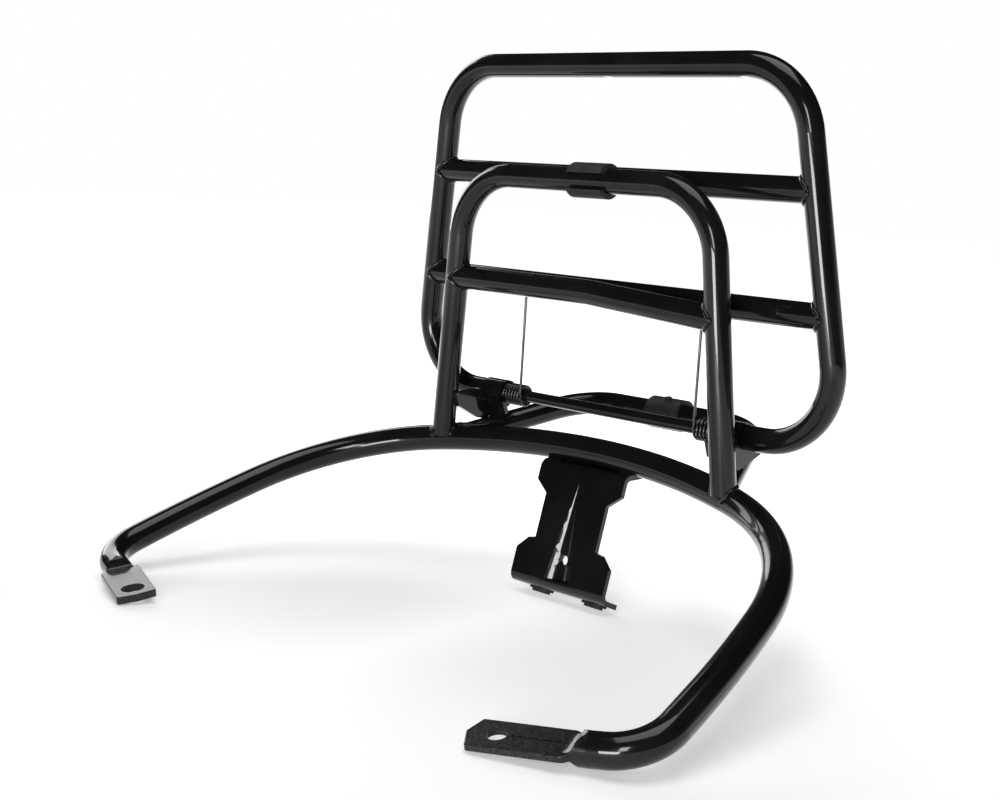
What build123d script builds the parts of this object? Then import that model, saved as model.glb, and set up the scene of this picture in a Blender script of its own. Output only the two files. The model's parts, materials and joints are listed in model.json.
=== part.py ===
"""Scooter luggage rack: horseshoe main tube, back hoop and a carrier that folds down on a sprung hinge."""

import os
from math import cos, radians, sin

from build123d import *

# Tube stock
main_radius = 8.0
main_wall = 2.0
rail_radius = 7.0
rail_wall = 1.5
weld_gap = 0.05

# Horseshoe main tube, from the middle of its rear to each toe
rear_radius = 311.0
rear_angle = 20.4
side_radius = 124.6
side_angle = 57.4
flank_radius = 640.0
flank_angle = 7.5
toe_radius = 25.0
toe_angle = 74.8
toe_straight = 6.0

# Pressed tabs: the left one is shorter, thicker and leans more
tab_width = 22.0
right_press = 11.0
right_tab_length = 43.0
right_tab_thickness = 3.4
right_tab_point = 3.8
right_tab_roll = 7.0
right_tab_lift = 2.5
right_hole_inset = 10.75
left_press = 8.0
left_tab_length = 35.3
left_tab_thickness = 4.5
left_tab_point = 1.2
left_tab_roll = 10.5
left_slot_inset = 8.3
hole_radius = 5.0
slot_length = 13.0
tab_corner = 1.5
tab_edge = 0.6
seam_width = 2.0
seam_depth = 0.5
seam_end_gap = 2.0

# Shape of the pressing: shares of its length, then shares of the tube's radius
press_crown = 0.7
press_heel = 0.25
flare_start = 0.2
flare_middle = 0.6
flare_late = 0.7
flare_root = 0.8
flare_swell = 0.9

# Back hoop
hoop_y = -22.4
hoop_lean = 18.0
hoop_base_half = 105.8
hoop_top_half = 89.7
hoop_height = 164.0
hoop_corner = 40.0
hoop_start = 4.0
hoop_bar_height = 102.2
hoop_bar_drop = 6.1
hoop_bar_kink = 8.0
kink_radius = 30.0

# Fold-down carrier
rack_y = 11.56
rack_lean = 15.8
hinge_height = 19.0
rack_height = 217.0
rack_base_half = 155.3
rack_top_half = 125.0
rack_corner_share = 0.7
dent_radius = 10.6
dent_depth = 0.9
left_dent_x = -2.0
right_dent_x = 90.0
upper_bar_height = 153.7
lower_bar_height = 89.4

# Hinge
rod_radius = 3.5
running_clearance = 0.05
barrel_radius = 7.8
barrel_reach = 15.8
plate_thickness = 4.0
plate_inset = 9.0
plate_front = -14.5
plate_top = 30.3
plate_low = 21.5
plate_shoulder_y = 10.5
plate_shoulder_z = 23.2
plate_heel_y = 27.0
plate_heel_z = 3.0
plate_belly_y = 6.0
plate_belly_z = 3.5
plate_throat_y = -2.0
plate_throat_z = 8.0
gusset_ahead = 4.5
gusset_thickness = 3.0
gusset_foot_z = -2.6
gusset_tip_z = 6.0
stub_gap = 0.6
bush_length = 9.4

# Torsion springs
wire_radius = 0.8
bend_radius = 0.86
coil_radius = 5.9
coil_pitch = 2.35
coil_turns = 6.0
coil_gap = 1.5
tang_length = 3.0
tang_clearance = 0.15

# Stop loop behind the main tube
stop_front_y = -15.0
stop_front_half = 99.5
stop_rear_half = 64.0
stop_reach = 84.9
stop_droop = 5.2
stop_corner = 36.0

# Rubber bumpers
bumper_length = 24.5
bumper_wall = 2.8
bumper_fit = 0.1
bumper_x = 8.0
bumper_mouth = 9.0
pad_half_height = 4.5
pad_gap = 0.3
nub_radius = 3.0
nub_sink = 1.0
nub_height = 1.8
nub_taper = 12.0

# Support plate and its foot
sheet = 3.0
top_corner_y = -12.5
top_corner_z = -5.6
web_angle = 53.8
flange_angle = 20.0
flange_reach = 14.0
foot_angle = 43.0
foot_length = 14.0
foot_bend = 4.5
top_half = 31.7
top_depth = 11.0
neck_depth = 18.0
waist_half = 22.8
step_half = 27.8
step_rise = 1.0
shoulder_half = 35.0
shoulder_up = 25.0
shoulder_slope = 7.0
rib_start = 9.0
rib_end = 5.8
rib_wall = 1.5
rib_half = 9.5
rib_depth = 4.0
rib_tip = 0.2
bolt_hole_radius = 2.8
bolt_hole_up = 17.0
pad_length = 17.0
pad_width = 10.0
pad_thickness = 2.5
pad_rim = 1.1
pad_step_share = 0.75
pad_half_pitch = 20.0
pad_offset = 3.0
pad_setback = 8.8

# Standing attitude: the rear of the main tube is raised by this angle
stand_angle = 20.5


def leaning_plane(y, lean):
    """Plane across the rack whose local Y rises and leans to the rear."""
    return Plane(
        origin=(0, y, 0),
        x_dir=(1, 0, 0),
        z_dir=(0, -cos(radians(lean)), sin(radians(lean))),
    )


def round_bar(path, radius):
    """Solid round bar along a path, used to shape the ends of tubes that meet it."""
    with BuildPart() as bar:
        with BuildSketch(Plane(origin=path @ 0, z_dir=path % 0)):
            Circle(radius)
        sweep(path=path)
    return bar.part


def round_tube(path, radius, wall):
    """Round tube along a path."""
    with BuildPart() as tube:
        with BuildSketch(Plane(origin=path @ 0, z_dir=path % 0)):
            Circle(radius)
            Circle(radius - wall, mode=Mode.SUBTRACT)
        sweep(path=path)
    return tube.part


def rise(y, z):
    """Height of a point above the rear centre of the main tube when the rack stands."""
    return y * sin(radians(stand_angle)) + z * cos(radians(stand_angle))


hoop_plane = leaning_plane(hoop_y, hoop_lean)
rack_plane = leaning_plane(rack_y, rack_lean)
hinge_axis = rack_plane.from_local_coords((0, hinge_height, 0))
plate_outer = hoop_base_half - plate_inset
barrel_inner = plate_outer - barrel_reach
coil_inner = barrel_inner - coil_pitch * coil_turns - coil_gap

# Main tube
with BuildLine() as main_path:
    rear = JernArc((0, 0), (1, 0), rear_radius, -rear_angle)
    shoulder = JernArc(rear @ 1, rear % 1, side_radius, -side_angle)
    flank = JernArc(shoulder @ 1, shoulder % 1, flank_radius, -flank_angle)
    toe = JernArc(flank @ 1, flank % 1, toe_radius, -toe_angle)
    tail = Line(toe @ 1, (toe @ 1) + (toe % 1) * toe_straight)
    mirror(about=Plane.YZ)
main_wire = main_path.wire()
tail_end = tail @ 1
tail_way = tail % 1


def tab_plane(side, roll, lift):
    """Plane of a pressed tab: X along the tab from the end of the tube, Z up, outer edge raised."""
    way = Vector(side * tail_way.X, tail_way.Y, 0)
    outer = Vector(-side * way.Y, side * way.X, 0)
    along = way * cos(radians(lift)) + Vector(0, 0, sin(radians(lift)))
    edge = outer * cos(radians(roll)) + Vector(0, 0, sin(radians(roll)))
    return Plane(origin=(side * tail_end.X, tail_end.Y, 0), x_dir=along, z_dir=along.cross(edge) * side)


def pressed_end(plane, press, length, point, thickness):
    """End of the main tube, pressed down from round to a flat tab with a pointed end."""
    side_view = Plane(origin=plane.origin, x_dir=plane.x_dir, z_dir=-plane.y_dir)
    with BuildPart() as tab:
        with BuildSketch(plane):
            with BuildLine():
                Bezier(
                    (press * flare_start, main_radius * flare_root),
                    (press * flare_middle, main_radius * flare_swell),
                    (press * flare_late, tab_width / 2),
                    (press, tab_width / 2),
                )
                FilletPolyline(
                    (press, tab_width / 2),
                    (press + length, tab_width / 2),
                    (press + length + point, 0),
                    radius=tab_corner,
                )
                Line((press + length + point, 0), (press * flare_start, 0))
                Line((press * flare_start, 0), (press * flare_start, main_radius * flare_root))
            make_face()
            mirror(about=Plane.XZ)
        extrude(amount=thickness / 2, both=True)
        long_edges = tab.edges().filter_by(lambda edge: abs(edge.length - length) < tab_corner)
        fillet(long_edges, radius=tab_edge)
    with BuildPart() as end:
        with BuildSketch(Plane(origin=plane.origin, z_dir=plane.x_dir)):
            Circle(main_radius)
        extrude(amount=press)
        with BuildSketch(side_view):
            with BuildLine():
                Bezier(
                    (0, main_radius),
                    (press * press_crown, main_radius),
                    (press * press_heel, thickness / 2),
                    (press, thickness / 2),
                )
                Line((press, thickness / 2), (press, 0))
                Line((press, 0), (0, 0))
                Line((0, 0), (0, main_radius))
            make_face()
            mirror(about=Plane.XZ)
        extrude(amount=2 * main_radius, both=True, mode=Mode.INTERSECT)
        add(tab.part)
    return end.part


right_tab = tab_plane(1, right_tab_roll, right_tab_lift)
left_tab = tab_plane(-1, left_tab_roll, 0)
right_hole_along = right_press + right_tab_length - right_hole_inset
seam_far = right_hole_along - hole_radius - seam_end_gap
left_slot_along = left_press + left_tab_length - left_slot_inset
with BuildPart() as main_tube:
    add(round_tube(main_wire, main_radius, main_wall))
    add(pressed_end(right_tab, right_press, right_tab_length, right_tab_point, right_tab_thickness))
    add(pressed_end(left_tab, left_press, left_tab_length, left_tab_point, left_tab_thickness))
    with BuildSketch(right_tab):
        with Locations((right_hole_along, 0)):
            Circle(hole_radius)
    extrude(amount=right_tab_thickness, both=True, mode=Mode.SUBTRACT)
    with BuildSketch(left_tab):
        with Locations((left_slot_along, 0)):
            SlotOverall(slot_length, 2 * hole_radius, rotation=90)
    extrude(amount=left_tab_thickness, both=True, mode=Mode.SUBTRACT)
    with BuildSketch(right_tab.offset(right_tab_thickness / 2 - seam_depth)):
        with Locations(((right_press + seam_far) / 2, 0)):
            Rectangle(seam_far - right_press, seam_width)
    extrude(amount=seam_depth + tab_edge, mode=Mode.SUBTRACT)
main_core = round_bar(main_wire, main_radius + weld_gap)


def hoop_half(height):
    """Half-width of the back hoop at a height in its own plane."""
    return hoop_base_half + (hoop_top_half - hoop_base_half) * height / hoop_height


# Back hoop
with BuildLine(hoop_plane) as hoop_path:
    FilletPolyline(
        (-hoop_half(hoop_start), hoop_start),
        (-hoop_top_half, hoop_height),
        (hoop_top_half, hoop_height),
        (hoop_half(hoop_start), hoop_start),
        radius=hoop_corner,
    )
hoop_wire = hoop_path.wire()
with BuildPart() as backrest_hoop:
    add(round_tube(hoop_wire, rail_radius, rail_wall))
    add(main_core, mode=Mode.SUBTRACT)
hoop_core = round_bar(hoop_wire, rail_radius + weld_gap)

# Hoop crossbar, level on the left and bent down towards the right leg
with BuildLine(hoop_plane) as bar_path:
    FilletPolyline(
        (-hoop_half(hoop_bar_height), hoop_bar_height),
        (hoop_bar_kink, hoop_bar_height),
        (hoop_half(hoop_bar_height - hoop_bar_drop), hoop_bar_height - hoop_bar_drop),
        radius=kink_radius,
    )
with BuildPart() as hoop_crossbar:
    add(round_tube(bar_path.wire(), rail_radius, rail_wall))
    add(hoop_core, mode=Mode.SUBTRACT)

# Stop loop, drooping to the rear
stop_plane = Plane(
    origin=(0, stop_front_y, 0),
    x_dir=(1, 0, 0),
    z_dir=(0, sin(radians(stop_droop)), cos(radians(stop_droop))),
)
with BuildLine(stop_plane) as stop_path:
    FilletPolyline(
        (-stop_front_half, 0),
        (-stop_rear_half, stop_reach),
        (stop_rear_half, stop_reach),
        (stop_front_half, 0),
        radius=stop_corner,
    )
stop_wire = stop_path.wire()
with BuildPart() as stop_loop:
    add(round_tube(stop_wire, rail_radius, rail_wall))
    add(main_core, mode=Mode.SUBTRACT)
stop_core = round_bar(stop_wire, rail_radius + weld_gap)


def rack_half(height):
    """Half-width of the carrier at a height in its own plane."""
    share = (height - hinge_height) / (rack_height - hinge_height)
    return rack_base_half + (rack_top_half - rack_base_half) * share


# Carrier loop, open at the hinge
stub_end = plate_outer + stub_gap
with BuildLine(rack_plane) as loop_path:
    FilletPolyline(
        (-stub_end, hinge_height),
        (-rack_base_half, hinge_height),
        (-rack_top_half, rack_height),
        (rack_top_half, rack_height),
        (rack_base_half, hinge_height),
        (stub_end, hinge_height),
        radius=rack_corner_share * (rack_base_half - stub_end),
    )
loop_wire = loop_path.wire()
with BuildPart() as rack_loop:
    add(round_tube(loop_wire, rail_radius, rail_wall))
    with BuildSketch(rack_plane):
        with Locations(
            (left_dent_x, rack_height - rail_radius - dent_radius + dent_depth),
            (right_dent_x, rack_height - rail_radius - dent_radius + dent_depth),
        ):
            Circle(dent_radius)
    extrude(amount=rail_radius, both=True, mode=Mode.SUBTRACT)
loop_core = round_bar(loop_wire, rail_radius + weld_gap)


def rack_bar(height):
    """Straight bar between the sides of the carrier."""
    with BuildLine(rack_plane) as span:
        Line((-rack_half(height), height), (rack_half(height), height))
    with BuildPart() as bar:
        add(round_tube(span.wire(), rail_radius, rail_wall))
        add(loop_core, mode=Mode.SUBTRACT)
    return bar.part


rack_bar_upper = rack_bar(upper_bar_height)
leg_x = coil_inner
leg_foot = rack_plane.from_local_coords((0, hinge_height, coil_radius))
leg_top = rack_plane.from_local_coords((0, lower_bar_height - rail_radius + rail_wall, 0))

# Lower carrier bar, drilled underneath for the ends of the spring legs
with BuildPart() as rack_bar_lower:
    add(rack_bar(lower_bar_height))
    for side in (1, -1):
        foot = Vector(side * leg_x, leg_foot.Y, leg_foot.Z)
        top = Vector(side * leg_x, leg_top.Y, leg_top.Z)
        with BuildSketch(Plane(origin=top, z_dir=foot - top)):
            Circle(wire_radius + tang_clearance)
        extrude(amount=2 * rail_wall, mode=Mode.SUBTRACT)

# Hinge rod
with BuildPart() as hinge_rod:
    with BuildSketch(Plane(origin=hinge_axis, z_dir=(1, 0, 0))):
        Circle(rod_radius)
    extrude(amount=stub_end + bush_length, both=True)


def hinge_plate(side):
    """Flat bracket from the hoop leg back to the hinge, with a round knuckle and a gusset."""
    plane = Plane(origin=(side * plate_outer, 0, 0), x_dir=(0, 1, 0), z_dir=(1, 0, 0))
    with BuildPart() as plate:
        with BuildSketch(plane):
            with BuildLine():
                Polyline(
                    (plate_front, plate_top),
                    (plate_shoulder_y, plate_shoulder_z),
                    (hinge_axis.Y + barrel_radius, hinge_axis.Z),
                    (plate_heel_y, plate_heel_z),
                    (plate_belly_y, plate_belly_z),
                    (plate_throat_y, plate_throat_z),
                    (plate_front, plate_low),
                    close=True,
                )
            make_face()
            with Locations((hinge_axis.Y, hinge_axis.Z)):
                Circle(barrel_radius)
                Circle(rod_radius + running_clearance, mode=Mode.SUBTRACT)
        extrude(amount=-side * plate_thickness)
        gusset_middle = (0, hinge_axis.Y - gusset_ahead, 0)
        gusset_plane = Plane(origin=gusset_middle, x_dir=(side, 0, 0), z_dir=(0, -side, 0))
        gusset_top_z = hinge_axis.Z - barrel_radius / 2
        with BuildSketch(gusset_plane):
            with BuildLine():
                Polyline(
                    (plate_outer - plate_thickness / 2, gusset_top_z),
                    (barrel_inner, gusset_top_z),
                    (barrel_inner, gusset_tip_z),
                    (plate_outer - plate_thickness / 2, gusset_foot_z),
                    close=True,
                )
            make_face()
        extrude(amount=gusset_thickness / 2, both=True)
        with BuildSketch(Plane(origin=(side * barrel_inner, hinge_axis.Y, hinge_axis.Z), z_dir=(side, 0, 0))):
            Circle(barrel_radius + weld_gap)
        extrude(amount=plate_outer - plate_thickness - barrel_inner, mode=Mode.SUBTRACT)
        add(hoop_core, mode=Mode.SUBTRACT)
        add(stop_core, mode=Mode.SUBTRACT)
    return plate.part


def hinge_barrel(side):
    """Knuckle barrel on the inner face of a hinge plate, drilled for the spring's tang."""
    length = plate_outer - plate_thickness - weld_gap - barrel_inner
    face = Plane(origin=(side * barrel_inner, hinge_axis.Y, hinge_axis.Z), z_dir=(side, 0, 0))
    tang = Plane(
        origin=(side * barrel_inner, leg_foot.Y, leg_foot.Z),
        z_dir=(side, 0, 0),
    )
    with BuildPart() as barrel:
        with BuildSketch(face):
            Circle(barrel_radius)
            Circle(rod_radius + running_clearance, mode=Mode.SUBTRACT)
        extrude(amount=length)
        with BuildSketch(tang):
            Circle(wire_radius + tang_clearance)
        extrude(amount=2 * tang_length, mode=Mode.SUBTRACT)
    return barrel.part


def pivot_bush(side):
    """Bush in the open end of the carrier loop, turning on the hinge rod."""
    end = Plane(origin=(side * stub_end, hinge_axis.Y, hinge_axis.Z), z_dir=(side, 0, 0))
    with BuildPart() as bush:
        with BuildSketch(end):
            Circle(rail_radius - rail_wall - weld_gap)
            Circle(rod_radius + running_clearance, mode=Mode.SUBTRACT)
        extrude(amount=bush_length)
    return bush.part


def torsion_spring(side):
    """Wound spring on the hinge rod: a tang in the barrel, a long leg into the lower carrier bar."""
    height = coil_pitch * coil_turns
    out = Vector(side, 0, 0)
    start = Plane(
        origin=(side * coil_inner, hinge_axis.Y, hinge_axis.Z),
        x_dir=leg_foot - hinge_axis,
        z_dir=out,
    )
    with BuildPart() as spring:
        with BuildLine():
            coil = Helix(coil_pitch, height, coil_radius, lefthand=side > 0)
        coil_wire = Wire([start.location * coil.edge()])
        add(round_bar(coil_wire, wire_radius))
        leg_base = coil_wire @ 0
        leg_tip = Vector(side * leg_x, leg_top.Y, leg_top.Z)
        tang_base = coil_wire @ 1
        with Locations(leg_base, tang_base):
            Sphere(bend_radius)
        with BuildSketch(Plane(origin=leg_base, z_dir=leg_tip - leg_base)):
            Circle(wire_radius)
        extrude(amount=(leg_tip - leg_base).length)
        with BuildSketch(Plane(origin=tang_base, z_dir=out)):
            Circle(wire_radius)
        extrude(amount=barrel_inner + tang_length - coil_inner - height)
    return spring.part


# Hoop bumper: a split rubber sleeve with a pad that meets the upper carrier bar
hoop_top = hoop_plane.from_local_coords((bumper_x, hoop_height, 0))
rack_bar_axis = rack_plane.from_local_coords((bumper_x, upper_bar_height, 0))
pad_way = rack_bar_axis - hoop_top
pad_end = pad_way.length - rail_radius - pad_gap
with BuildPart() as hoop_bumper:
    with BuildSketch(Plane(origin=hoop_top, x_dir=pad_way, z_dir=(1, 0, 0))) as sleeve:
        Circle(rail_radius + bumper_wall)
        with Locations((pad_end / 2, 0)):
            Rectangle(pad_end, 2 * pad_half_height)
        Circle(rail_radius + bumper_fit, mode=Mode.SUBTRACT)
        with Locations((-rail_radius - bumper_wall, 0)):
            Rectangle(2 * rail_radius, bumper_mouth, mode=Mode.SUBTRACT)
    extrude(amount=bumper_length / 2, both=True)

# Stop bumper: a split rubber sleeve on the stop loop, open underneath
stop_top = stop_plane.from_local_coords((0, stop_reach, 0))
with BuildPart() as stop_bumper:
    with BuildSketch(Plane(origin=stop_top, x_dir=stop_plane.z_dir, z_dir=(1, 0, 0))):
        Circle(rail_radius + bumper_wall)
        Circle(rail_radius + bumper_fit, mode=Mode.SUBTRACT)
        with Locations((-rail_radius - bumper_wall, 0)):
            Rectangle(2 * rail_radius, bumper_mouth, mode=Mode.SUBTRACT)
    extrude(amount=bumper_length / 2, both=True)
    nub_base = stop_top + stop_plane.z_dir * (rail_radius + bumper_wall - nub_sink)
    with BuildSketch(Plane(origin=nub_base, z_dir=stop_plane.z_dir)):
        Circle(nub_radius)
    extrude(amount=nub_height, taper=nub_taper)

# Support plate: flange under the main tube, sloping web and a foot whose pads rest on the ground
turn = Location((0, 0, 0), (stand_angle, 0, 0))
ground_rise = main_tube.part.moved(turn).bounding_box().min.Z
web_way = Vector(0, -cos(radians(web_angle)), -sin(radians(web_angle)))
foot_way = Vector(0, cos(radians(foot_angle)), -sin(radians(foot_angle)))
foot_up = Vector(0, sin(radians(foot_angle)), cos(radians(foot_angle)))
flange_way = Vector(0, cos(radians(flange_angle)), -sin(radians(flange_angle)))
web_top = Vector(0, top_corner_y, top_corner_z)
pad_rear = pad_setback + pad_step_share * pad_width / 2
foot_rest = foot_way * pad_rear - foot_up * (sheet / 2 + pad_thickness)
resting = web_top + foot_rest
web_length = (ground_rise - rise(resting.Y, resting.Z)) / rise(web_way.Y, web_way.Z)
foot_corner = web_top + web_way * web_length
foot_end = foot_corner + foot_way * foot_length
flange_end = web_top + flange_way * flange_reach
web_plane = Plane(origin=foot_corner, x_dir=(1, 0, 0), z_dir=Vector(1, 0, 0).cross(-web_way))

# Tapered rib pressed into the front of the web
rib_radius = (rib_half**2 + rib_depth**2) / (2 * rib_depth)
rib_apex = web_plane.from_local_coords((0, web_length - rib_start, sheet / 2))
rib_foot = web_plane.from_local_coords((0, rib_end, sheet / 2 + rib_radius - rib_depth))
rib_axis = rib_apex - rib_foot
rib_plane = Plane(origin=rib_foot, x_dir=(1, 0, 0), z_dir=rib_axis)
rib_back = Plane(origin=rib_foot - rib_axis.normalized() * rib_wall, x_dir=(1, 0, 0), z_dir=rib_axis)
with BuildPart(rib_back) as rib_shell:
    Cone(rib_radius + sheet, sheet, rib_axis.length + rib_wall, align=(Align.CENTER, Align.CENTER, Align.MIN))
    with BuildSketch(web_plane.offset(sheet / 2 - weld_gap)):
        Rectangle(4 * rib_radius, 3 * web_length)
    extrude(amount=-4 * rib_radius, mode=Mode.INTERSECT)

with BuildPart() as support_plate:
    with BuildSketch(Plane.YZ):
        with BuildLine():
            FilletPolyline(
                (flange_end.Y, flange_end.Z),
                (web_top.Y, web_top.Z),
                (foot_corner.Y, foot_corner.Z),
                (foot_end.Y, foot_end.Z),
                radius=foot_bend,
            )
        trace(line_width=sheet)
    extrude(amount=shoulder_half + sheet, both=True)
    with BuildSketch(web_plane):
        with BuildLine():
            Polyline(
                (0, web_length + flange_reach),
                (top_half, web_length + flange_reach),
                (top_half, web_length - top_depth),
                (waist_half, web_length - neck_depth),
                (waist_half, shoulder_up + step_rise),
                (step_half, shoulder_up),
                (shoulder_half, shoulder_up - shoulder_slope),
                (shoulder_half, -foot_length),
                (0, -foot_length),
            )
            mirror(about=Plane.YZ)
        make_face()
    extrude(amount=2 * (flange_reach + foot_length), both=True, mode=Mode.INTERSECT)
    add(rib_shell.part)
    with BuildSketch(rib_plane):
        Circle(rib_radius)
    with BuildSketch(Plane(origin=rib_apex, x_dir=(1, 0, 0), z_dir=rib_axis)):
        Circle(rib_tip)
    loft(mode=Mode.SUBTRACT)
    with BuildSketch(web_plane):
        with Locations((0, bolt_hole_up)):
            Circle(bolt_hole_radius)
    extrude(amount=4 * sheet, both=True, mode=Mode.SUBTRACT)
    add(main_core, mode=Mode.SUBTRACT)


def foot_pad(side):
    """Oval rubber pad under the foot of the support plate, stepped in below its rim."""
    across = Vector(pad_offset + side * pad_half_pitch, 0, 0)
    centre = foot_corner + foot_way * pad_setback - foot_up * (sheet / 2) + across
    top = Plane(origin=centre, x_dir=(1, 0, 0), z_dir=-foot_up)
    with BuildPart() as pad:
        with BuildSketch(top):
            Ellipse(pad_length / 2, pad_width / 2)
        extrude(amount=pad_rim)
        with BuildSketch(top):
            Ellipse(pad_step_share * pad_length / 2, pad_step_share * pad_width / 2)
        extrude(amount=pad_thickness)
    return pad.part


pieces = {
    "main_tube": main_tube.part,
    "backrest_hoop": backrest_hoop.part,
    "hoop_crossbar": hoop_crossbar.part,
    "stop_loop": stop_loop.part,
    "hinge_plate_left": hinge_plate(-1),
    "hinge_plate_right": hinge_plate(1),
    "hinge_barrel_left": hinge_barrel(-1),
    "hinge_barrel_right": hinge_barrel(1),
    "hinge_rod": hinge_rod.part,
    "support_plate": support_plate.part,
    "foot_pad_left": foot_pad(-1),
    "foot_pad_right": foot_pad(1),
    "hoop_bumper": hoop_bumper.part,
    "stop_bumper": stop_bumper.part,
    "rack_loop": rack_loop.part,
    "rack_bar_upper": rack_bar_upper,
    "rack_bar_lower": rack_bar_lower.part,
    "pivot_bush_left": pivot_bush(-1),
    "pivot_bush_right": pivot_bush(1),
    "spring_left": torsion_spring(-1),
    "spring_right": torsion_spring(1),
}

# The rack is stood on its toes and foot, with the middle of its bounds over the origin
bounds = Compound(children=[piece.moved(turn) for piece in pieces.values()]).bounding_box()
stand = Location((0, -bounds.center().Y, -ground_rise)) * turn
os.makedirs("parts", exist_ok=True)
for name, piece in pieces.items():
    standing = piece.moved(stand)
    standing.label = name
    export_step(standing, f"parts/{name}.step")
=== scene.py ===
"""Scooter luggage rack: gloss paint, rubber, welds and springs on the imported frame, in a pale studio."""

import json
import logging
import math
from dataclasses import dataclass
from enum import Enum
from typing import Any, Callable, Sequence

import bpy
from mathutils import Matrix, Vector, noise
from mathutils.bvhtree import BVHTree


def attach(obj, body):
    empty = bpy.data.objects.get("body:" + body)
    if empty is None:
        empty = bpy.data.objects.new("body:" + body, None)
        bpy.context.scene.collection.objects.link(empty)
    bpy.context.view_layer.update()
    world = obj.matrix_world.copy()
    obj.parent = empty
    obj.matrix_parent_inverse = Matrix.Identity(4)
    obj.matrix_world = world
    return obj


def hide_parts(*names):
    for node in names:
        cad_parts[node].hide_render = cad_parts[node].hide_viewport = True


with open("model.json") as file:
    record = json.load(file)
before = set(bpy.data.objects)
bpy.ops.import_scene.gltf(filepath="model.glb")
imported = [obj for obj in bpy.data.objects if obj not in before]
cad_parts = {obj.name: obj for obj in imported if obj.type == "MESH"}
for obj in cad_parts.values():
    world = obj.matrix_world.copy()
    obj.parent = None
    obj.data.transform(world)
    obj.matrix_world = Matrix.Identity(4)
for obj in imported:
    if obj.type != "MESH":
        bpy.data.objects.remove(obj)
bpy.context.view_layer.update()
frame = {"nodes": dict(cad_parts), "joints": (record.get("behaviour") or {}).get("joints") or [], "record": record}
LOG = logging.getLogger("luggage_rack")
MM = 0.001


class Body(Enum):
    """The rigid bodies of the rack."""

    FRAME = "frame"
    CARRIER = "carrier"


class Slot(Enum):
    """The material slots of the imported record."""

    PAINT = "black_paint"
    RUBBER = "rubber"
    BUSH = "bush_plastic"
    WIRE = "spring_wire"


class Side(Enum):
    """Left and right, as the sign of X."""

    LEFT = -1
    RIGHT = 1


class Val:
    """A shader value that takes Python arithmetic; each operation on it adds one Math node."""

    def __init__(self, tree: "Tree", socket: bpy.types.NodeSocket) -> None:
        """Wraps a socket of a tree."""
        self.tree = tree
        self.socket = socket

    def _math(self, operation: str, first: Any, second: Any, clamp: bool = False) -> "Val":
        """Adds a Math node.

        Args:
            operation: Blender's name of the operation.
            first: value or link of the first socket.
            second: value or link of the second socket.
            clamp: keep the result between 0 and 1.

        Returns:
            The node's result.
        """
        settings = {"operation": operation, "use_clamp": clamp}
        return self.tree.make("ShaderNodeMath", settings, {0: first, 1: second})["Value"]

    def __add__(self, other: Any) -> "Val":
        """Sum of two values."""
        return self._math("ADD", self, other)

    __radd__ = __add__

    def __sub__(self, other: Any) -> "Val":
        """Difference of two values."""
        return self._math("SUBTRACT", self, other)

    def __rsub__(self, other: Any) -> "Val":
        """Difference with the value second."""
        return self._math("SUBTRACT", other, self)

    def __mul__(self, other: Any) -> "Val":
        """Product of two values."""
        return self._math("MULTIPLY", self, other)

    __rmul__ = __mul__

    def __abs__(self) -> "Val":
        """Size of the value without its sign."""
        return self._math("ABSOLUTE", self, 0.0)

    def between(self, low: float, high: float) -> "Val":
        """Share of the way from low to high, kept between 0 and 1."""
        return self._math("MULTIPLY", self - low, 1.0 / (high - low), clamp=True)


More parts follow.
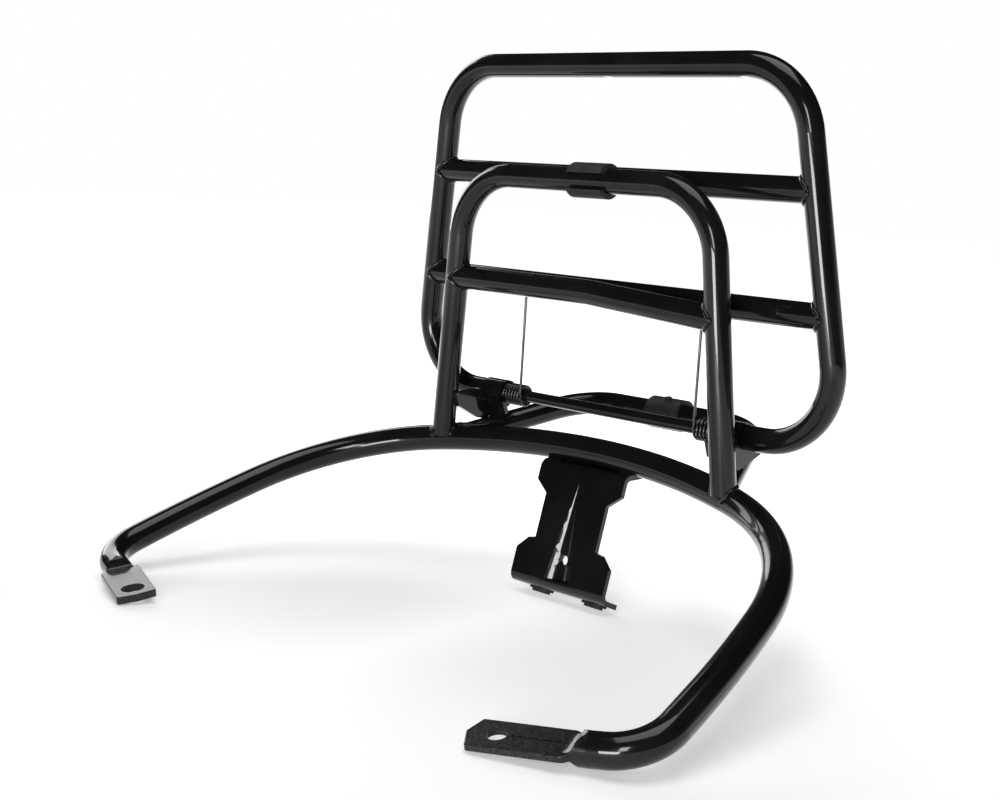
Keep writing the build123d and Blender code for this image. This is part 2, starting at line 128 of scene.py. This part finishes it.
class Tree:
    """The node tree of a material or a world, with one way to add a node."""

    def __init__(self, owner: bpy.types.Material | bpy.types.World) -> None:
        """Empties the tree.

        Args:
            owner: material or world that the tree belongs to.
        """
        owner.use_nodes = True
        self.nodes = owner.node_tree.nodes
        self.links = owner.node_tree.links
        self.nodes.clear()

    def make(self, kind: str, settings: dict[str, Any], inputs: dict[Any, Any]) -> dict[Any, Val]:
        """Adds a node.

        Args:
            kind: Blender's type name of the node.
            settings: attributes, set first.
            inputs: values or links of its sockets, by name or number.

        Returns:
            The node's outputs, by name and by number.
        """
        node = self.nodes.new(kind)
        for name, value in settings.items():
            setattr(node, name, value)
        for key, value in inputs.items():
            if isinstance(value, Val):
                self.links.new(value.socket, node.inputs[key])
            else:
                node.inputs[key].default_value = value
        values = [Val(self, socket) for socket in node.outputs]
        return {**dict(enumerate(values)), **{value.socket.name: value for value in values}}

    def grain(self, scale: float, detail: float = 2.0) -> Val:
        """Noise over the surface.

        Args:
            scale: cycles a metre.
            detail: octaves of finer noise.

        Returns:
            The noise, about 0 to 1.
        """
        place = self.make("ShaderNodeTexCoord", {}, {})["Object"]
        fields = {"Vector": place, "Scale": scale, "Detail": detail}
        return self.make("ShaderNodeTexNoise", {}, fields)["Fac"]

    def near(self, point: Sequence[float], inner: float, outer: float) -> Val:
        """Mask around a point and its mirror image across the rack.

        Args:
            point: place on the right half, in metres.
            inner: distance within which the mask is 1.
            outer: distance past which the mask is 0.

        Returns:
            The mask.
        """
        place = self.make("ShaderNodeTexCoord", {}, {})["Object"]
        parts = self.make("ShaderNodeSeparateXYZ", {}, {0: place})
        folded = self.make("ShaderNodeCombineXYZ", {}, {0: abs(parts["X"]), 1: parts["Y"], 2: parts["Z"]})
        away = self.make(
            "ShaderNodeVectorMath", {"operation": "DISTANCE"}, {0: folded["Vector"], 1: tuple(point)}
        )["Value"]
        return 1 - away.between(inner, outer)

    def blend(self, share: Val, first: Val | Sequence[float], second: Val | Sequence[float]) -> Val:
        """Mix of two colours.

        Args:
            share: share of the second colour.
            first: colour or link at a share of 0.
            second: colour or link at a share of 1.

        Returns:
            The mixed colour.
        """
        start, end = (colour if isinstance(colour, Val) else (*colour, 1) for colour in (first, second))
        return self.make("ShaderNodeMix", {"data_type": "RGBA"}, {0: share, 6: start, 7: end})[2]

    def close(self, shader: dict[Any, Any], height: Val, depth: float) -> None:
        """Ends the tree in one surface shader.

        Args:
            shader: the surface's sockets.
            height: relief of the surface.
            depth: depth of the relief in metres.
        """
        bump = self.make("ShaderNodeBump", {}, {"Strength": 1.0, "Distance": depth, "Height": height})
        surface = self.make("ShaderNodeBsdfPrincipled", {}, {**shader, "Normal": bump["Normal"]})
        self.make("ShaderNodeOutputMaterial", {}, {"Surface": surface["BSDF"]})


@dataclass(frozen=True)
class GlossPaint:
    """Black gloss paint with faint orange peel, a little dust, and rough pressed tabs."""

    name: str = "gloss_black_paint"
    black: tuple[float, float, float] = (0.004, 0.004, 0.0045)
    dusty: tuple[float, float, float] = (0.007, 0.007, 0.0075)
    rough: tuple[float, float, float] = (0.03, 0.03, 0.031)
    tab: tuple[float, float, float] = (0.146, -0.141, 0.009)
    tab_inner: float = 0.020
    tab_outer: float = 0.034
    cloud_scale: float = 28.0
    pit_scale: float = 900.0
    pit_height: float = 8.0
    peel_scale: float = 700.0
    peel_height: float = 0.5
    peel_depth: float = 0.000008

    def material(self) -> bpy.types.Material:
        """Builds the paint.

        Returns:
            The new material.
        """
        made = bpy.data.materials.new(self.name)
        tree = Tree(made)
        cloud = tree.grain(self.cloud_scale, 4.0)
        dust = cloud.between(0.45, 0.75)
        pressed = tree.near(self.tab, self.tab_inner, self.tab_outer)
        pits = tree.grain(self.pit_scale, 4.0).between(0.35, 0.7) * pressed
        shader = {
            "Base Color": tree.blend(pits, tree.blend(dust, self.black, self.dusty), self.rough),
            "Roughness": 0.13 + cloud * 0.10 + pressed * 0.08,
            "Coat Weight": 1 - pressed * 0.2,
            "Coat Roughness": 0.035,
            "Coat IOR": 1.3,
            "IOR": 1.2,
        }
        relief = tree.grain(self.peel_scale) * self.peel_height + pits * self.pit_height
        tree.close(shader, relief, self.peel_depth)
        return made


@dataclass(frozen=True)
class MattRubber:
    """Moulded black rubber with a fine grain and paler rubbed places."""

    name: str = "moulded_rubber"
    black: tuple[float, float, float] = (0.010, 0.010, 0.0105)
    rubbed: tuple[float, float, float] = (0.026, 0.026, 0.0265)
    worn_scale: float = 120.0
    grain_scale: float = 1500.0
    grain_depth: float = 0.00012

    def material(self) -> bpy.types.Material:
        """Builds the rubber.

        Returns:
            The new material.
        """
        made = bpy.data.materials.new(self.name)
        tree = Tree(made)
        worn = tree.grain(self.worn_scale, 4.0).between(0.4, 0.7)
        shader = {
            "Base Color": tree.blend(worn, self.black, self.rubbed),
            "Roughness": 0.52 + worn * 0.2,
            "IOR": 1.3,
        }
        tree.close(shader, tree.grain(self.grain_scale, 3.0), self.grain_depth)
        return made


@dataclass(frozen=True)
class SpringWire:
    """Black oxide spring wire with a bright oily sheen and drawing marks."""

    name: str = "black_spring_wire"
    black: tuple[float, float, float] = (0.005, 0.005, 0.0055)
    bright: tuple[float, float, float] = (0.02, 0.02, 0.021)
    mark_scale: float = 900.0
    mark_depth: float = 0.000004

    def material(self) -> bpy.types.Material:
        """Builds the wire.

        Returns:
            The new material.
        """
        made = bpy.data.materials.new(self.name)
        tree = Tree(made)
        marks = tree.grain(self.mark_scale, 3.0)
        shader = {
            "Base Color": tree.blend(marks.between(0.5, 0.8), self.black, self.bright),
            "Roughness": 0.2 + marks * 0.15,
            "Coat Weight": 0.6,
            "IOR": 1.4,
        }
        tree.close(shader, marks, self.mark_depth)
        return made


@dataclass(frozen=True)
class BushPlastic:
    """Dark bearing plastic, slightly mottled."""

    name: str = "bearing_plastic"
    dark: tuple[float, float, float] = (0.02, 0.02, 0.02)
    pale: tuple[float, float, float] = (0.05, 0.05, 0.05)
    mottle_scale: float = 300.0
    mottle_depth: float = 0.00005

    def material(self) -> bpy.types.Material:
        """Builds the plastic.

        Returns:
            The new material.
        """
        made = bpy.data.materials.new(self.name)
        tree = Tree(made)
        mottle = tree.grain(self.mottle_scale, 3.0)
        shader = {
            "Base Color": tree.blend(mottle, self.dark, self.pale),
            "Roughness": 0.4 + mottle * 0.15,
        }
        tree.close(shader, mottle, self.mottle_depth)
        return made


@dataclass(frozen=True)
class Deck:
    """The main tube's own plane, in millimetres, and how it stands in the row frame."""

    tilt: float = 20.5
    hinge_y: float = 16.733
    hinge_z: float = 18.282

    @property
    def turn(self) -> Matrix:
        """Rotation from the deck to the row frame."""
        return Matrix.Rotation(math.radians(self.tilt), 3, "X")

    def point(self, x: float, y: float, z: float) -> Vector:
        """A place on the deck, in the row frame in metres."""
        hinge = Vector(frame["joints"][0]["pos_m"])
        return hinge + self.turn @ (Vector((x, y - self.hinge_y, z - self.hinge_z)) * MM)

    def way(self, x: float, y: float, z: float) -> Vector:
        """A direction on the deck, in the row frame."""
        return (self.turn @ Vector((x, y, z))).normalized()


@dataclass(frozen=True)
class Leaning:
    """A plane across the rack that rises from the deck and leans to the rear."""

    deck: Deck
    y: float
    lean: float

    def point(self, x: float, height: float, ahead: float = 0.0) -> Vector:
        """A place in the plane.

        Args:
            x: across the rack, in millimetres.
            height: up the plane, in millimetres.
            ahead: in front of the plane, in millimetres.

        Returns:
            The place in the row frame, in metres.
        """
        rise, back = math.cos(math.radians(self.lean)), math.sin(math.radians(self.lean))
        return self.deck.point(x, self.y + height * back - ahead * rise, height * rise + ahead * back)


DECK = Deck()
HOOP = Leaning(DECK, -22.4, 18.0)
CARRIER = Leaning(DECK, 11.56, 15.8)


def swept(name: str, path: Sequence[Vector], radius: Callable[[float], float], sides: int,
          closed: bool) -> bpy.types.Object:
    """Sweeps a round section along a path.

    Args:
        name: name of the piece.
        path: points of the centreline, in metres.
        radius: radius of the section at a share of the length.
        sides: points round the section.
        closed: join the last section to the first.

    Returns:
        The new mesh object.
    """
    count = len(path)
    tangents = []
    for i in range(count):
        before = path[i - 1] if closed or i > 0 else path[0]
        after = path[(i + 1) % count] if closed or i < count - 1 else path[-1]
        tangents.append((after - before).normalized())
    across = tangents[0].orthogonal().normalized()
    points: list[Vector] = []
    for i, (place, tangent) in enumerate(zip(path, tangents)):
        across = (across - tangent * across.dot(tangent)).normalized()
        other = tangent.cross(across)
        size = radius(i / count)
        for k in range(sides):
            angle = 2 * math.pi * k / sides
            points.append(place + (across * math.cos(angle) + other * math.sin(angle)) * size)
    faces: list[tuple[int, ...]] = []
    for i in range(count if closed else count - 1):
        j = (i + 1) % count
        shift = closest_start(points, i, j, sides) if closed and j == 0 else 0
        for k in range(sides):
            a, b = k, (k + 1) % sides
            faces.append((i * sides + a, i * sides + b, j * sides + (b + shift) % sides,
                          j * sides + (a + shift) % sides))
    if not closed:
        faces.append(tuple(range(sides - 1, -1, -1)))
        faces.append(tuple(range((count - 1) * sides, count * sides)))
    return mesh_piece(name, points, faces)


def closest_start(points: Sequence[Vector], i: int, j: int, sides: int) -> int:
    """Turn of section j that brings it nearest to section i.

    Args:
        points: all points of the sweep.
        i: first section.
        j: second section.
        sides: points round the section.

    Returns:
        The number of points to turn by.
    """
    first = points[i * sides]
    return min(range(sides), key=lambda k: (points[j * sides + k] - first).length)


def mesh_piece(name: str, points: Sequence[Vector], faces: Sequence[Sequence[int]]) -> bpy.types.Object:
    """Makes a smooth-shaded mesh object.

    Args:
        name: name of the piece.
        points: its points, in metres.
        faces: its faces.

    Returns:
        The new object, linked to the scene.
    """
    mesh = bpy.data.meshes.new(name)
    mesh.from_pydata([tuple(p) for p in points], [], [tuple(f) for f in faces])
    mesh.validate()
    mesh.polygons.foreach_set("use_smooth", [True] * len(mesh.polygons))
    piece = bpy.data.objects.new(name, mesh)
    bpy.context.scene.collection.objects.link(piece)
    return piece


def dress(piece: bpy.types.Object, finish: bpy.types.Material) -> None:
    """Gives a piece one material."""
    piece.data.materials.clear()
    piece.data.materials.append(finish)


def mirrored(side: Side, place: Sequence[float]) -> tuple[float, ...]:
    """A place on the right half, moved to the given side."""
    return (side.value * place[0], *place[1:])


@dataclass
class Welds:
    """Weld beads where the tubes and plates meet.

    Sizes are in millimetres. Places are on the right half, and a crossbar place is x and a share of the drop.
    """

    paint: bpy.types.Material
    bead: float = 1.3
    ripple: float = 0.10
    pitch: float = 2.4
    drift: float = 0.12
    lift: float = 0.3
    steps: int = 72
    sides: int = 10
    run_step: float = 0.5
    rail: float = 7.0
    hoop_base: float = 105.8
    hoop_top: float = 89.7
    hoop_height: float = 164.0
    leg_start: tuple[float, float] = (103.0, 28.5)
    crossbar_height: float = 102.2
    crossbar_drop: float = 6.1
    crossbar_end_place: tuple[float, float] = (95.8, 1.0)
    crossbar_kink: tuple[float, float] = (40.0, 0.36)
    crossbar_start: tuple[float, float] = (70.0, 0.704)
    carrier_bars: tuple[tuple[str, float], ...] = (("upper", 153.7), ("lower", 89.4))
    carrier_start: float = 100.0
    plate_seam: tuple[tuple[float, float, float], ...] = ((97.2, 22.5, -3.2), (96.9, 31.0, -3.2))
    flange_seam: tuple[tuple[float, float, float], ...] = ((23.0, -7.2, -6.0), (31.2, -7.9, -5.9))
    stop_start: tuple[float, float, float] = (87.3, 14.0, -2.64)
    stop_way: tuple[float, float, float] = (35.5, -84.55, 7.7)

    def surface(self, node: str) -> BVHTree:
        """Search tree over a CAD node's mesh."""
        mesh = frame["nodes"][node].data
        return BVHTree.FromPolygons([v.co for v in mesh.vertices], [p.vertices for p in mesh.polygons])

    def size(self, length: float) -> Callable[[float], float]:
        """Radius of a bead along its length, with the ripples of the weld pool.

        Args:
            length: length of the bead in metres.

        Returns:
            The radius as a function of the share of the length.
        """
        ripples = max(6, round(length / (self.pitch * MM)))

        def radius(share: float) -> float:
            """Radius at a share of the length.

            Args:
                share: share of the bead's length.

            Returns:
                The radius in metres.
            """
            pool = abs(math.sin(math.pi * ripples * share))
            wander = noise.noise(Vector((share * 9.0, ripples, 0.5)))
            return self.bead * MM * (1 - self.ripple + self.ripple * pool + self.drift * wander)

        return radius

    def lay(self, name: str, path: list[Vector], body: Body, closed: bool) -> None:
        """Lays one bead along a path.

        Args:
            name: name of the bead.
            path: points of its centreline.
            body: the body that it rides on.
            closed: join its ends.
        """
        length = sum((b - a).length for a, b in zip(path, path[1:]))
        piece = swept(name, path, self.size(length), self.sides, closed)
        dress(piece, self.paint)
        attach(piece, body.value)
        LOG.info("made %s", piece.name)

    def round_end(self, name: str, start: Vector, way: Vector, mate: str, body: Body) -> None:
        """Bead round the end of a rail where it runs into another tube.

        Args:
            name: name of the bead.
            start: a place on the rail's axis, short of the joint.
            way: direction of the rail towards the joint.
            mate: node that the rail runs into.
            body: the body that both ride on.
        """
        tree = self.surface(mate)
        across = way.orthogonal().normalized()
        other = way.cross(across)
        path = []
        for k in range(self.steps):
            angle = 2 * math.pi * k / self.steps
            out = across * math.cos(angle) + other * math.sin(angle)
            hit = tree.ray_cast(start + out * self.rail * MM, way)[0]
            if hit is None:
                hit = tree.find_nearest(start + out * self.rail * MM + way * self.rail * MM * 2)[0]
            path.append(hit + out * self.lift * MM)
        self.lay(name, path, body, True)

    def run(self, name: str, start: Vector, end: Vector, body: Body) -> None:
        """Straight bead between two places."""
        steps = max(8, round((end - start).length / (self.run_step * MM)))
        self.lay(name, [start.lerp(end, k / steps) for k in range(steps + 1)], body, False)

    def build(self) -> None:
        """Lays every bead on the rack."""
        for side in Side:
            word = side.name.lower()
            base = HOOP.point(*mirrored(side, (self.hoop_base, 0.0)))
            top = HOOP.point(*mirrored(side, (self.hoop_top, self.hoop_height)))
            start = HOOP.point(*mirrored(side, self.leg_start))
            self.round_end(f"weld_hoop_{word}", start, (base - top).normalized(), "main_tube", Body.FRAME)
            self.crossbar_end(side)
            outward = Vector((side.value, 0, 0))
            for label, height in self.carrier_bars:
                start = CARRIER.point(*mirrored(side, (self.carrier_start, height)))
                self.round_end(f"weld_{label}_bar_{word}", start, outward, "rack_loop", Body.CARRIER)
            foot, head = (HOOP.point(*mirrored(side, place)) for place in self.plate_seam)
            self.run(f"weld_hinge_plate_{word}", foot, head, Body.FRAME)
            inner, outer = (DECK.point(*mirrored(side, place)) for place in self.flange_seam)
            self.run(f"weld_flange_{word}", inner, outer, Body.FRAME)
            start = DECK.point(*mirrored(side, self.stop_start))
            way = DECK.way(*mirrored(side, self.stop_way))
            self.round_end(f"weld_stop_{word}", start, way, "main_tube", Body.FRAME)

    def crossbar_end(self, side: Side) -> None:
        """Bead at one end of the hoop's crossbar, which drops towards the right.

        Args:
            side: the end to weld.
        """
        drop = self.crossbar_drop if side is Side.RIGHT else 0.0
        end, kink, start = (
            HOOP.point(side.value * x, self.crossbar_height - drop * share)
            for x, share in (self.crossbar_end_place, self.crossbar_kink, self.crossbar_start)
        )
        name = f"weld_crossbar_{side.name.lower()}"
        self.round_end(name, start, (end - kink).normalized(), "backrest_hoop", Body.FRAME)


@dataclass
class TorsionSpring:
    """A wound spring on the hinge rod; its coil stays on the frame and its leg follows the carrier."""

    side: Side
    wire: bpy.types.Material
    wire_radius: float = 0.8
    coil_radius: float = 5.9
    pitch: float = 2.35
    turns: int = 6
    inner: float = 65.4
    barrel: float = 81.0
    tang: float = 3.0
    tang_steps: tuple[float, ...] = (0.6, 1.5)
    bar_height: float = 89.4
    hinge_height: float = 19.0
    leg_inset: float = 5.5
    leg_steps: int = 24
    steps_a_turn: int = 40
    sides: int = 12

    def coil_path(self) -> list[Vector]:
        """Centreline of the coil and its tang, from the inner end outwards.

        Returns:
            The points in the row frame, in metres.
        """
        sign = self.side.value
        points = []
        for k in range(self.turns * self.steps_a_turn + 1):
            angle = 2 * math.pi * k / self.steps_a_turn
            x = sign * (self.inner + self.pitch * k / self.steps_a_turn)
            points.append(CARRIER.point(x, self.hinge_height - self.coil_radius * math.sin(angle),
                                        self.coil_radius * math.cos(angle)))
        end = self.inner + self.pitch * self.turns
        for reach in (*self.tang_steps, self.barrel - end + self.tang):
            points.append(CARRIER.point(sign * (end + reach), self.hinge_height, self.coil_radius))
        return points

    def leg_path(self) -> list[Vector]:
        """Centreline of the long leg, from the coil up into the lower carrier bar.

        Returns:
            The points in the row frame, in metres.
        """
        x = self.side.value * self.inner
        top = self.bar_height - self.leg_inset
        steps = self.leg_steps
        return [CARRIER.point(x, self.hinge_height + (top - self.hinge_height) * k / steps,
                              self.coil_radius * (1 - k / steps)) for k in range(steps + 1)]

    def build(self) -> None:
        """Makes the coil and the leg."""
        word = self.side.name.lower()
        coil, leg = (
            swept(f"spring_{part}_{word}", path, lambda share: self.wire_radius * MM, self.sides, False)
            for part, path in (("coil", self.coil_path()), ("leg", self.leg_path()))
        )
        for piece, body in ((coil, Body.FRAME), (leg, Body.CARRIER)):
            dress(piece, self.wire)
            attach(piece, body.value)
            LOG.info("made %s", piece.name)
        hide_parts(f"spring_{word}")


@dataclass(frozen=True)
class SoftBox:
    """A soft rectangular lamp that faces the rack, in metres and watts."""

    name: str
    place: tuple[float, float, float]
    size: tuple[float, float]
    power: float
    aim: tuple[float, float, float] = (0.0, 0.0, 0.12)

    def hang(self) -> None:
        """Hangs the lamp in the scene."""
        data = bpy.data.lights.new(self.name, "AREA")
        data.shape = "RECTANGLE"
        data.size, data.size_y = self.size
        data.energy = self.power
        lamp = bpy.data.objects.new(self.name, data)
        lamp.location = self.place
        lamp.rotation_euler = (Vector(self.aim) - Vector(self.place)).to_track_quat("-Z", "Y").to_euler()
        bpy.context.scene.collection.objects.link(lamp)
        LOG.info("hung %s", lamp.name)


@dataclass
class Studio:
    """Pale floor, soft lights and the camera of the photograph."""

    floor_size: float = 14.0
    floor_drop: float = 0.0005
    floor_grain: float = 3.0
    floor_depth: float = 0.00001
    floor_pale: tuple[float, float, float] = (0.80, 0.80, 0.81)
    floor_speck: tuple[float, float, float] = (0.82, 0.82, 0.825)
    # Painted shade: the dim glow of the floor under and in front of the rack; glow_far is the even white glow
    # elsewhere.
    glow_in_painted_shade: tuple[float, float, float] = (0.16, 0.16, 0.165)
    glow_far: tuple[float, float, float] = (1.0, 1.0, 1.005)
    room_dark: tuple[float, float, float] = (0.015, 0.015, 0.0155)
    backdrop_glow: tuple[float, float, float] = (0.6, 0.6, 0.605)
    shade_place: tuple[float, float, float] = (0.08, -0.04, 0.0)
    painted_shade_front_place: tuple[float, float, float] = (0.36, -0.42, 0.0)
    lamps: tuple[SoftBox, ...] = (
        SoftBox("overhead", (0.15, -0.2, 2.0), (1.4, 1.4), 20.0),
        SoftBox("front_strip", (0.75, -1.25, 0.62), (0.28, 0.5), 7.0),
        SoftBox("low_box", (0.42, -1.2, 0.14), (0.5, 0.24), 10.0),
        SoftBox("left_box", (-1.3, 0.3, 0.6), (0.9, 0.9), 8.5),
    )
    camera_place: tuple[float, float, float] = (565.38, -590.36, 391.09)
    camera_right: tuple[float, float, float] = (0.72438442, 0.6626153, -0.19028445)
    camera_up: tuple[float, float, float] = (-0.13989478, 0.41155785, 0.90058292)
    lens: float = 55.9
    sensor: float = 36.0
    clip: tuple[float, float] = (0.01, 60.0)

    def floor(self) -> None:
        """Lays the floor, which glows evenly white away from the rack and glows dimmer under and in front of the
        rack as painted shade.
        """
        half = self.floor_size / 2
        plan = ((-half, -half), (half, -half), (half, half), (-half, half))
        corners = [Vector((x, y, -self.floor_drop)) for x, y in plan]
        piece = mesh_piece("studio_floor", corners, [(0, 1, 2, 3)])
        made = bpy.data.materials.new("pale_floor")
        tree = Tree(made)
        speckle = tree.grain(self.floor_grain)
        # Painted shade: the floor glows less under the rack and in front of it, so it reads darker there.
        painted_shade_under = tree.near(self.shade_place, 0.03, 0.32) * 0.85
        front = tree.near(self.painted_shade_front_place, 0.16, 0.62)
        unshaded_share = (1 - painted_shade_under) * (1 - front)
        shader = {
            "Base Color": tree.blend(speckle, self.floor_pale, self.floor_speck),
            "Roughness": 0.55 + speckle * 0.1,
            "Specular IOR Level": 0.1,
            "Emission Color": tree.blend(unshaded_share, self.glow_in_painted_shade, self.glow_far),
            "Emission Strength": 1.0,
        }
        tree.close(shader, speckle, self.floor_depth)
        dress(piece, made)
        LOG.info("made %s", piece.name)

    def world(self) -> None:
        """White backdrop for the picture, and a dim studio for what the paint reflects."""
        world = bpy.data.worlds.new("studio")
        bpy.context.scene.world = world
        tree = Tree(world)
        place = tree.make("ShaderNodeTexCoord", {}, {})["Generated"]
        parts = tree.make("ShaderNodeSeparateXYZ", {}, {0: place})
        backdrop = parts["Y"].between(0.3, 0.7) * (1 - parts["Z"].between(0.08, 0.2))
        shade = tree.blend(backdrop, self.room_dark, self.backdrop_glow)
        seen = tree.make("ShaderNodeLightPath", {}, {})["Is Camera Ray"]
        colour = tree.blend(seen, shade, (1.0, 1.0, 1.0))
        sky = tree.make("ShaderNodeBackground", {}, {"Color": colour, "Strength": 1.0})["Background"]
        tree.make("ShaderNodeOutputWorld", {}, {"Surface": sky})

    def camera(self) -> None:
        """Sets the camera where the photograph was taken."""
        data = bpy.data.cameras.new("camera")
        data.lens = self.lens
        data.sensor_width = self.sensor
        data.clip_start, data.clip_end = self.clip
        eye = bpy.data.objects.new("camera", data)
        right, up = DECK.way(*self.camera_right), DECK.way(*self.camera_up)
        turn = Matrix((right, up, right.cross(up))).transposed()
        eye.matrix_world = Matrix.Translation(DECK.point(*self.camera_place)) @ turn.to_4x4()
        bpy.context.scene.collection.objects.link(eye)
        bpy.context.scene.camera = eye

    def build(self) -> None:
        """Sets up the whole studio."""
        self.floor()
        self.world()
        for lamp in self.lamps:
            lamp.hang()
        self.camera()
        bpy.context.scene.view_settings.view_transform = "Standard"


@dataclass
class PackedPieces:
    """The CAD nodes that show as they are, each in its finish."""

    finishes: dict[str, bpy.types.Material]

    def build(self) -> None:
        """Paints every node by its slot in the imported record."""
        for entry in frame["record"]["subparts"]:
            node = frame["nodes"][entry["node"]]
            dress(node, self.finishes[entry["material_slot"]])
            LOG.info("painted %s", node.name)


def main() -> None:
    """Builds the rack's looks and the studio."""
    logging.basicConfig(level=logging.INFO)
    finishes = {
        Slot.PAINT.value: GlossPaint().material(),
        Slot.RUBBER.value: MattRubber().material(),
        Slot.BUSH.value: BushPlastic().material(),
        Slot.WIRE.value: SpringWire().material(),
    }
    PackedPieces(finishes).build()
    Welds(finishes[Slot.PAINT.value]).build()
    for side in Side:
        TorsionSpring(side, finishes[Slot.WIRE.value]).build()
    Studio().build()


if __name__ == "__main__":
    main()
